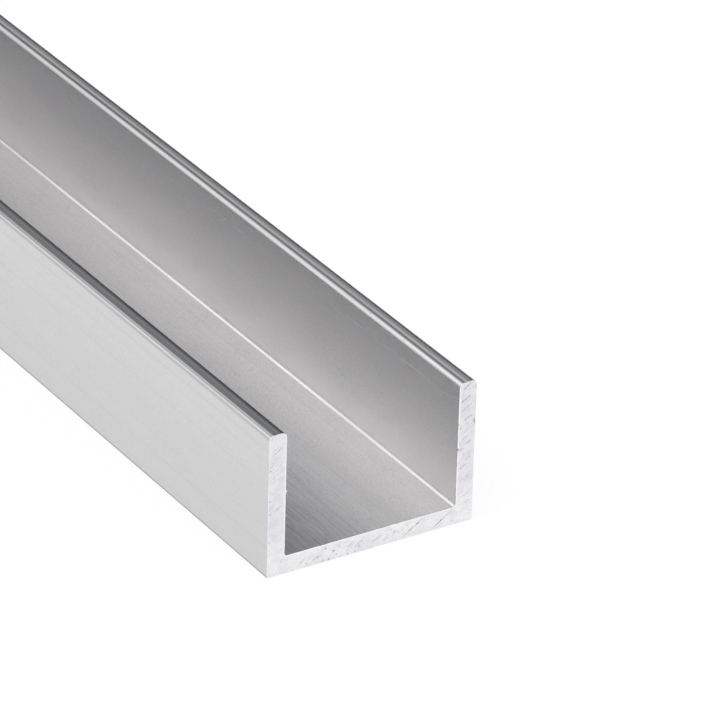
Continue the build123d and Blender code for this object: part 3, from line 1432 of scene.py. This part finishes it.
@dataclass(frozen=True)
class Studio:
    """A white floor, an even white surround, and a half-round tent whose right side is dark.

    The tent's levels are pairs of an angle and a brightness. The angle is from straight up, in
    degrees, positive towards +X.
    """

    floor_half: float = 6.0
    floor_white: float = 0.95
    camera_share: float = 0.85
    camera_glow: float = 1.03
    mirrored_share: float = 0.70
    mirrored_glow: float = 0.83
    tent_radius: float = 1.3
    tent_half_length: float = 3.2
    tent_steps: int = 96
    tent_strength: float = 1.29
    tent_levels: tuple[tuple[float, float], ...] = (
        (-90, 0.66), (-75, 0.70), (-60, 0.78), (-45, 0.95), (-32, 1.0), (-22, 0.95), (-7, 0.78),
        (7, 0.52), (22, 0.26), (37, 0.09), (52, 0.015), (90, 0.0))
    warm_tint: Triple = (1.0, 0.993, 0.985)
    cool_tint: Triple = (0.97, 1.0, 1.06)
    cool_beyond: float = -12.0
    far_fade: float = 0.53
    fade_starts: float = 0.92
    fade_ends: float = 1.75

    def _surround(self) -> None:
        """Make the world plain white, which is both the backdrop and an even light."""
        world = bpy.data.worlds.new("surround")
        bpy.context.scene.world = world
        bench = Bench(world)
        background = bench.node("ShaderNodeBackground", None, {"Color": grey(1.0), "Strength": 1.0})
        bench.finish(background.outputs[0], "ShaderNodeOutputWorld")

    def _stage_mesh(self, name: str, points: list[Triple], faces: list[tuple[int, ...]],
                    material: bpy.types.Material) -> bpy.types.Object:
        """Stand one plain surface round the object.

        Args:
            name: The surface's name.
            points: Its corners.
            faces: Its faces, as numbers of corners.
            material: Its material.

        Returns:
            The surface.
        """
        mesh = bpy.data.meshes.new(name)
        mesh.from_pydata(points, [], faces)
        mesh.materials.append(material)
        material.cycles.emission_sampling = "NONE"
        made = bpy.data.objects.new(name, mesh)
        bpy.context.scene.collection.objects.link(made)
        return made

    def _floor(self) -> bpy.types.Object:
        """Make the floor, mostly glowing white, with a share of plain white that takes a shadow.

        Returns:
            The floor.
        """
        half = self.floor_half
        material, bench = new_bench("floor_white")
        camera, mirrored = bench.rays()
        level = bench.blend(camera, grey(self.mirrored_glow), grey(self.camera_glow))
        glow = bench.node("ShaderNodeEmission", None, {"Color": level, "Strength": 1.0})
        plain = bench.node("ShaderNodeBsdfDiffuse", None, {"Color": grey(self.floor_white)})
        share = camera * self.camera_share + mirrored * self.mirrored_share
        sockets = {0: share, 1: plain.outputs[0], 2: glow.outputs[0]}
        bench.finish(bench.node("ShaderNodeMixShader", None, sockets).outputs[0])
        corners = [(-half, -half, 0), (half, -half, 0), (half, half, 0), (-half, half, 0)]
        return self._stage_mesh("floor", corners, [(0, 1, 2, 3)], material)

    def _tent(self) -> bpy.types.Object:
        """Make the tent, a half-round shell over the stock that only the metal's gloss sees.

        Returns:
            The tent.
        """
        steps, radius, half = self.tent_steps, self.tent_radius, self.tent_half_length
        points, faces = [], []
        for k in range(steps + 1):
            angle = math.pi * (k / steps - 0.5)
            x, z = radius * math.sin(angle), radius * math.cos(angle)
            points += [(x, -half, z), (x, half, z)]
            if k < steps:
                faces.append((2 * k, 2 * k + 1, 2 * k + 3, 2 * k + 2))
        material, bench = new_bench("tent_light")
        split = bench.node("ShaderNodeSeparateXYZ", None, {0: bench.place()})
        across, along, up = (Signal(bench, split.outputs[axis]) for axis in "XYZ")
        angle = bench.math("ARCTAN2", across, up)
        stops = []
        for degrees, level in self.tent_levels:
            tint = self.cool_tint if degrees > self.cool_beyond else self.warm_tint
            stops.append(((degrees + 90) / 180, (*(level * part for part in tint), 1.0)))
        ramp = bench.node("ShaderNodeValToRGB", {"stops": stops}, {0: angle / math.pi + 0.5})
        fade = along.between(self.fade_starts, self.fade_ends) * self.far_fade
        colour = bench.blend(fade, ramp.outputs[0], grey(0.0))
        sockets = {"Color": colour, "Strength": self.tent_strength}
        bench.finish(bench.node("ShaderNodeEmission", None, sockets).outputs[0])
        tent = self._stage_mesh("tent", points, faces, material)
        tent.visible_camera = False
        tent.visible_diffuse = False
        tent.visible_shadow = False
        tent.visible_transmission = False
        return tent

    def build(self) -> None:
        """Set up the surround, the floor and the tent."""
        self._surround()
        self._floor()
        self._tent()
        bpy.context.scene.view_settings.view_transform = "Standard"


@dataclass(frozen=True)
class PhotoCamera:
    """The photograph's camera: a long lens, high at the front left of the near end."""

    lens_mm: float = 285.94
    sensor_mm: float = 36.0
    across: float = -422.76 * MM
    before_end: float = 655.44 * MM
    above: float = 455.01 * MM
    heading_deg: float = 32.641
    down_deg: float = 28.373
    roll_deg: float = 1.663
    sees_from: float = 0.05
    sees_to: float = 100.0

    def build(self, near_end: float) -> bpy.types.Object:
        """Make the camera and look through it.

        Args:
            near_end: Where the near cut end lies along the stock.

        Returns:
            The camera.
        """
        data = bpy.data.cameras.new("photo_camera")
        data.sensor_width = self.sensor_mm
        data.lens = self.lens_mm
        data.clip_start = self.sees_from
        data.clip_end = self.sees_to
        camera = bpy.data.objects.new("photo_camera", data)
        turn = Matrix.Rotation(math.radians(-self.heading_deg), 4, "Z")
        tilt = Matrix.Rotation(math.radians(90 - self.down_deg), 4, "X")
        roll = Matrix.Rotation(math.radians(self.roll_deg), 4, "Z")
        place = Matrix.Translation((self.across, near_end - self.before_end, self.above))
        camera.matrix_world = place @ turn @ tilt @ roll
        bpy.context.scene.collection.objects.link(camera)
        bpy.context.scene.camera = camera
        return camera


def near_cut(at: float) -> SawnEnd:
    """Describe the near cut end, with the marks that can be seen on it.

    The first two pits on the right and the first chip are one nick in the outer edge there.

    Args:
        at: Where the end lies along the stock.

    Returns:
        The end, which faces -Y.
    """
    left_strokes = (
        SawStroke.mm(-17.6, 22.3, 2.5, 0.45), SawStroke.mm(-17.9, 22.8, 1.4, 0.30),
        SawStroke.mm(-17.3, 12.1, 1.6, 0.45), SawStroke.mm(-17.5, 6.4, 1.3, 0.25),
    )
    right_strokes = (
        SawStroke.mm(17.3, 24.6, 2.0, 0.80), SawStroke.mm(17.1, 22.4, 2.2, 0.80),
        SawStroke.mm(17.6, 18.9, 2.0, 0.75), SawStroke.mm(17.4, 16.6, 1.3, 0.45),
        SawStroke.mm(17.9, 14.5, 1.2, 0.50), SawStroke.mm(16.4, 13.3, 1.4, 0.65),
        SawStroke.mm(17.0, 20.6, 1.8, 0.60), SawStroke.mm(17.2, 15.4, 1.3, 0.45),
        SawStroke.mm(17.9, 11.6, 1.2, 0.45), SawStroke.mm(16.9, 10.2, 1.5, 0.50),
        SawStroke.mm(17.6, 8.2, 1.3, 0.40), SawStroke.mm(17.8, 5.1, 1.5, 0.40),
    )
    web_strokes = (
        SawStroke.mm(7.9, 1.6, 4.4, 0.50), SawStroke.mm(13.8, 1.8, 4.6, 0.50),
        SawStroke.mm(12.2, 0.9, 2.0, 0.35), SawStroke.mm(4.6, 1.6, 1.8, 0.30),
        SawStroke.mm(-10.0, 1.2, 1.6, 0.45), SawStroke.mm(-2.2, 1.6, 2.4, 0.45),
        SawStroke.mm(-3.8, 1.9, 1.6, 0.40), SawStroke.mm(1.2, 1.5, 2.4, 0.45),
        SawStroke.mm(2.9, 1.0, 1.6, 0.40), SawStroke.mm(-12.6, 1.3, 1.8, 0.35),
    )
    left_pits = (
        Pit.mm(-18.8, 19.2, 0.16, 0.65), Pit.mm(-18.8, 13.7, 0.14, 0.60),
        Pit.mm(-18.7, 11.4, 0.20, 0.55), Pit.mm(-18.8, 9.3, 0.12, 0.40),
        Pit.mm(-18.8, 6.4, 0.14, 0.50),
    )
    right_pits = (
        Pit.mm(18.83, 18.25, 0.17, 1.00), Pit.mm(18.83, 17.90, 0.17, 1.00),
        Pit.mm(16.3, 17.2, 0.16, 0.70), Pit.mm(16.1, 13.5, 0.20, 0.80),
        Pit.mm(17.5, 17.9, 0.15, 0.45), Pit.mm(17.0, 12.4, 0.16, 0.50),
        Pit.mm(18.1, 14.5, 0.14, 0.40),
    )
    web_pits = (
        Pit.mm(-11.9, 0.70, 0.15, 0.60), Pit.mm(-11.6, 0.35, 0.12, 0.45),
        Pit.mm(-9.8, 1.20, 0.14, 0.50), Pit.mm(-8.9, 0.30, 0.18, 0.65),
        Pit.mm(-8.3, 2.40, 0.16, 0.85), Pit.mm(-7.7, 0.25, 0.18, 0.75),
        Pit.mm(-6.8, 1.55, 0.18, 0.95), Pit.mm(-6.3, 0.85, 0.13, 0.60),
        Pit.mm(-5.8, 2.10, 0.18, 0.45), Pit.mm(-4.2, 0.20, 0.18, 0.80),
        Pit.mm(-2.9, 0.35, 0.17, 0.70), Pit.mm(-2.1, 1.10, 0.15, 0.80),
        Pit.mm(3.8, 2.40, 0.13, 0.50), Pit.mm(4.4, 1.80, 0.18, 0.55),
        Pit.mm(5.3, 1.50, 0.14, 0.45), Pit.mm(6.9, 2.40, 0.12, 0.60),
        Pit.mm(7.5, 1.30, 0.18, 0.50), Pit.mm(8.7, 2.15, 0.16, 0.70),
        Pit.mm(13.2, 1.50, 0.16, 0.70), Pit.mm(15.2, 0.75, 0.14, 0.50),
    )
    chips = (
        Line(Face.RIGHT_OUTER, 5.6 * MM, 0.45 * MM, 0.16 * MM),
        Line(Face.RIGHT_OUTER, 8.9 * MM, 2.4 * MM, 0.04 * MM),
        Line(Face.RIGHT_OUTER, 11.8 * MM, 0.45 * MM, 0.10 * MM),
        Line(Face.RIGHT_OUTER, 0.1 * MM, 0.3 * MM, 0.04 * MM),
        Line(Face.RIGHT_OUTER, -6.2 * MM, 0.3 * MM, 0.03 * MM),
        Line(Face.RIGHT_INNER, -3.9 * MM, 0.25 * MM, 0.08 * MM),
        Line(Face.RIGHT_INNER, 0.6 * MM, 0.28 * MM, 0.12 * MM),
        Line(Face.RIGHT_INNER, 1.5 * MM, 0.12 * MM, 0.08 * MM),
        Line(Face.LEFT_OUTER, -7.2 * MM, 0.12 * MM, 0.05 * MM),
    )
    flecks = (
        Line(Face.LEFT_INNER, 0.75 * MM, 0.24 * MM, 0.30 * MM),
        Line(Face.LEFT_INNER, 1.9 * MM, 0.12 * MM, 0.08 * MM),
        Line(Face.LEFT_INNER, -1.4 * MM, 0.15 * MM, 0.05 * MM),
    )
    return SawnEnd(at=at, inward=1.0, seed=3, strokes=left_strokes + right_strokes + web_strokes,
                   pits=left_pits + right_pits + web_pits, chips=chips, flecks=flecks)


def far_cut(at: float) -> SawnEnd:
    """Describe the far cut end, which faces +Y and has no marks of its own, on a coarser grid."""
    return SawnEnd(at=at, inward=-1.0, seed=8, grid=0.2 * MM)


def main() -> None:
    """Build the stock, the studio and the camera in order, and report each."""
    logging.basicConfig(level=logging.INFO, format="%(message)s")
    low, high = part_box("channel")
    section = Section(width=high.x - low.x, height=high.z - low.z)
    piece = ChannelStock(section=section, near=near_cut(low.y), far=far_cut(high.y)).build()
    LOG.info("channel stock: %d points, %d faces", len(piece.data.vertices), len(piece.data.polygons))
    Studio().build()
    LOG.info("studio: floor, surround and tent")
    camera = PhotoCamera().build(low.y)
    LOG.info("camera: %.2f mm lens", camera.data.lens)


if __name__ == "__main__":
    main()
